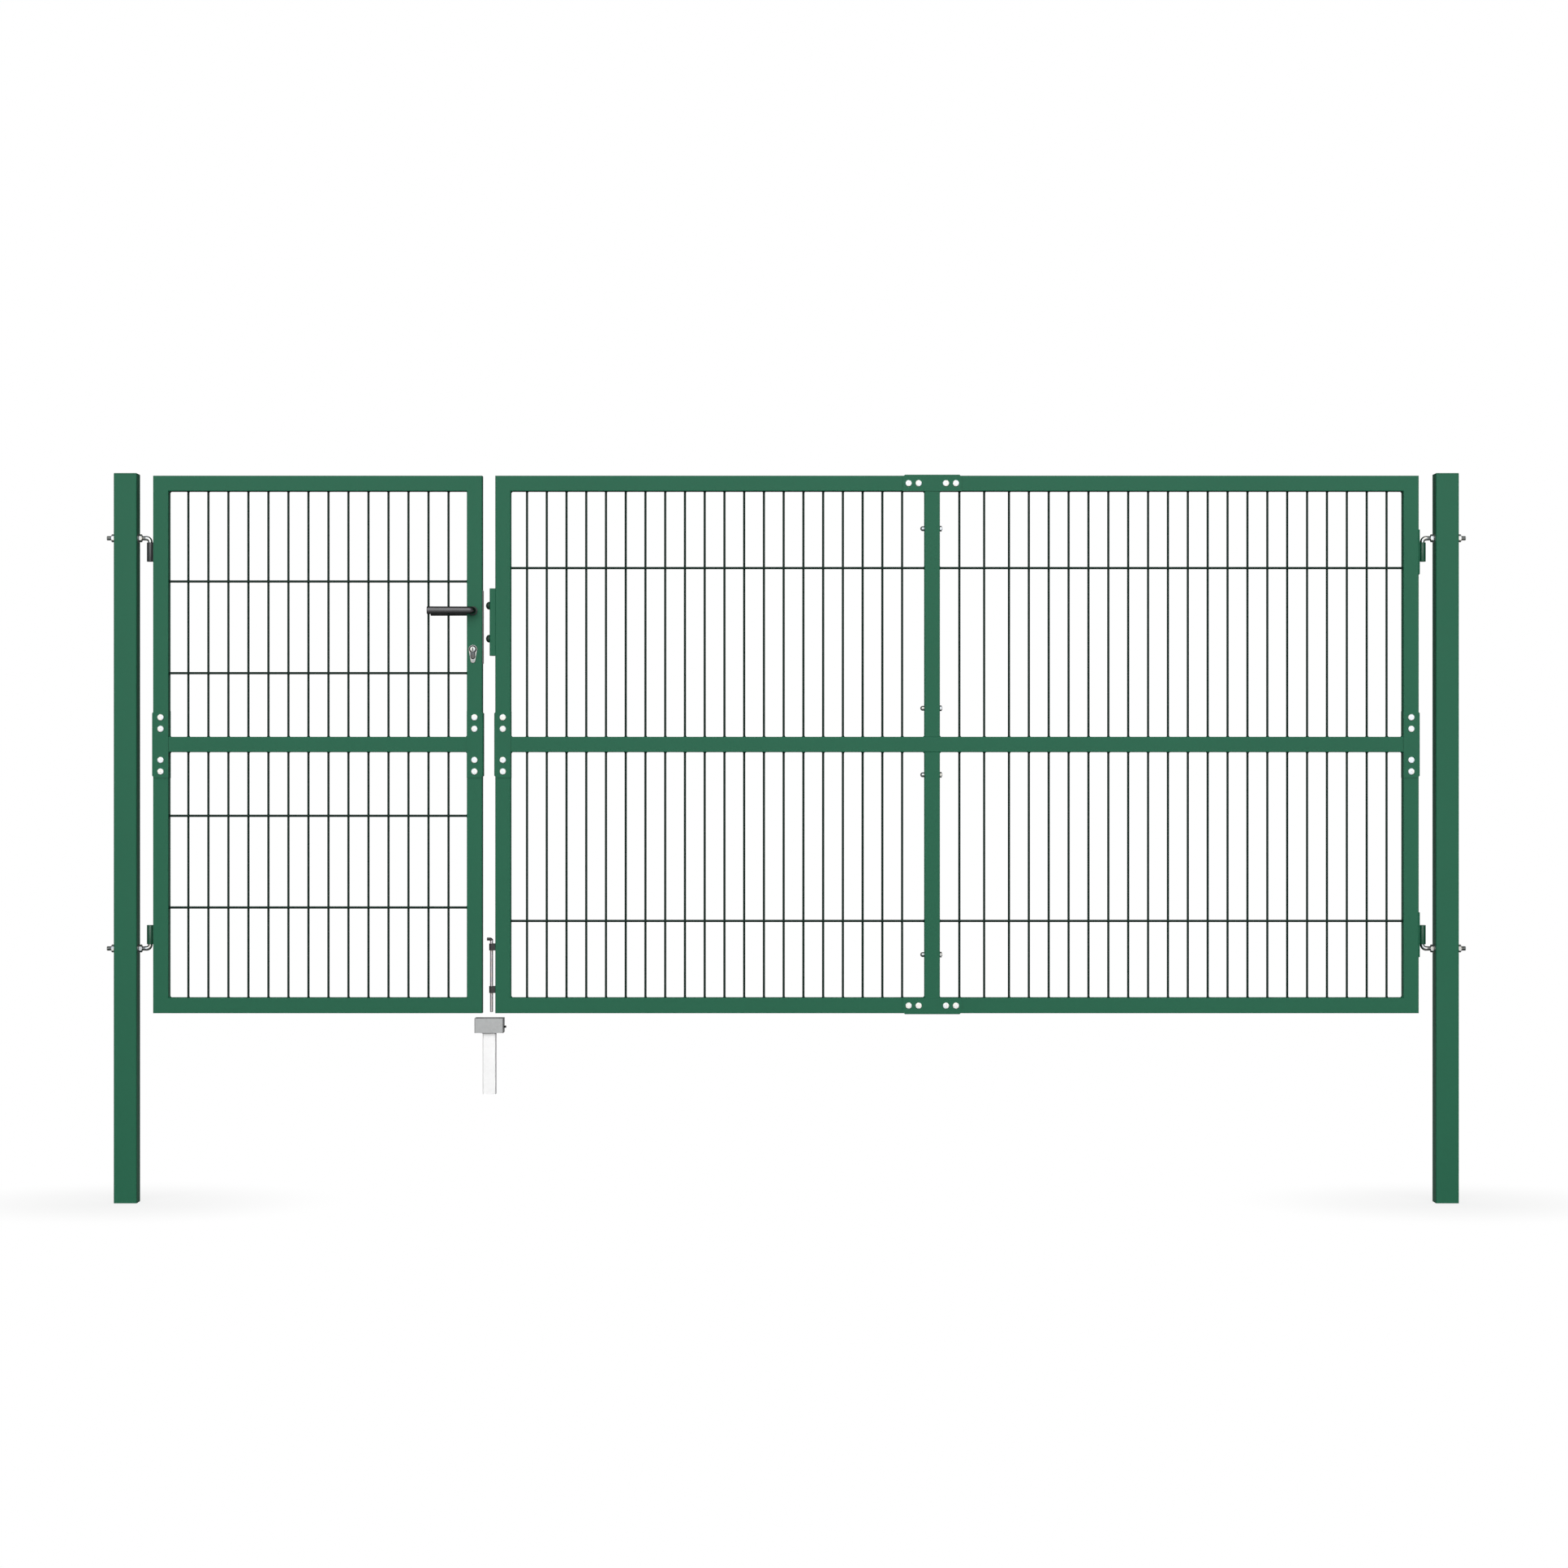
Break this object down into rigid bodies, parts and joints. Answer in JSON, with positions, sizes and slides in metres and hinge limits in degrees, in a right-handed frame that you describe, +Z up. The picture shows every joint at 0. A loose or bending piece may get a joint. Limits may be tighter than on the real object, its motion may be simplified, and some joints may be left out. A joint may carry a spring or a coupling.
{
  "type": "double-leaf garden fence gate with posts",
  "caption": "Welded-mesh garden gate with a narrow lever-lock leaf and a wide drop-bolt leaf, hung on square posts by hook-bolt hinges, with a ground lock.",
  "frame": {"origin": "centre of the left post's foot, on the underside of its foot plate", "axes": "+X along the gate from the left post to the right post, +Y from front to back, +Z up"},
  "size_m": [3.544, 0.128, 1.9],
  "materials": {
    "green_paint": "semi-gloss powder coat",
    "mesh_paint": "semi-gloss powder coat on wire",
    "bright_zinc": "bright zinc plate",
    "galvanised": "hot-dip galvanised",
    "nickel": "satin nickel",
    "black_plastic": "moulded",
    "green_plastic": "moulded",
    "buffer_rubber": "moulded"
  },
  "bodies": {
    "posts": {"left_post": "green_paint", "right_post": "green_paint", "post_caps": "green_plastic", "post_foot_plates": "green_paint", "left_hinge_hooks": "bright_zinc", "right_hinge_hooks": "bright_zinc", "hinge_nuts": "bright_zinc", "ground_lock_box": "galvanised", "ground_lock_leg": "galvanised", "ground_lock_knob": "black_plastic"},
    "narrow_leaf": {"narrow_top_rail": "green_paint", "narrow_mid_rail": "green_paint", "narrow_bottom_rail": "green_paint", "narrow_hinge_stile": "green_paint", "narrow_lock_stile": "green_paint", "narrow_joining_plates": "green_paint", "narrow_plate_bolts": "bright_zinc", "narrow_upper_mesh": "mesh_paint", "narrow_lower_mesh": "mesh_paint", "narrow_hinge_barrels": "green_paint", "lock_faceplate": "bright_zinc", "lock_cylinder": "nickel", "lock_escutcheons": "nickel", "lever_roses": "black_plastic"},
    "lever": {"lever_handles": "black_plastic", "lever_spindle": "bright_zinc"},
    "wide_leaf": {"wide_top_rail": "green_paint", "wide_mid_rail": "green_paint", "wide_bottom_rail": "green_paint", "wide_meeting_stile": "green_paint", "wide_centre_stile": "green_paint", "wide_hinge_stile": "green_paint", "wide_joining_plates": "green_paint", "wide_plate_bolts": "bright_zinc", "wide_centre_bolts": "bright_zinc", "wide_upper_left_mesh": "mesh_paint", "wide_upper_right_mesh": "mesh_paint", "wide_lower_left_mesh": "mesh_paint", "wide_lower_right_mesh": "mesh_paint", "wide_hinge_plates": "green_paint", "strike_plate": "green_paint", "strike_buffers": "buffer_rubber", "drop_bolt_guides": "black_plastic"},
    "drop_bolt_rod": {"drop_bolt": "bright_zinc"}
  },
  "joints": [
    {"name": "narrow_leaf_swing", "type": "hinge", "parent": "posts", "child": "narrow_leaf", "pos_m": [0.061, 0, 0.7], "axis": [0, 0, 1], "range_deg": [-90, 90]},
    {"name": "wide_leaf_swing", "type": "hinge", "parent": "posts", "child": "wide_leaf", "pos_m": [3.379, 0, 0.7], "axis": [0, 0, -1], "range_deg": [-90, 90]},
    {"name": "lever_turn", "type": "hinge", "parent": "narrow_leaf", "child": "lever", "pos_m": [0.904, 0, 1.542], "axis": [0, -1, 0], "range_deg": [0, 40], "stiffness_Nm_per_rad": 0.6, "springref_deg": -34.38},
    {"name": "drop_bolt_slide", "type": "slide", "parent": "wide_leaf", "child": "drop_bolt_rod", "axis": [0, 0, -1], "range_m": [0, 0.045]}
  ]
}
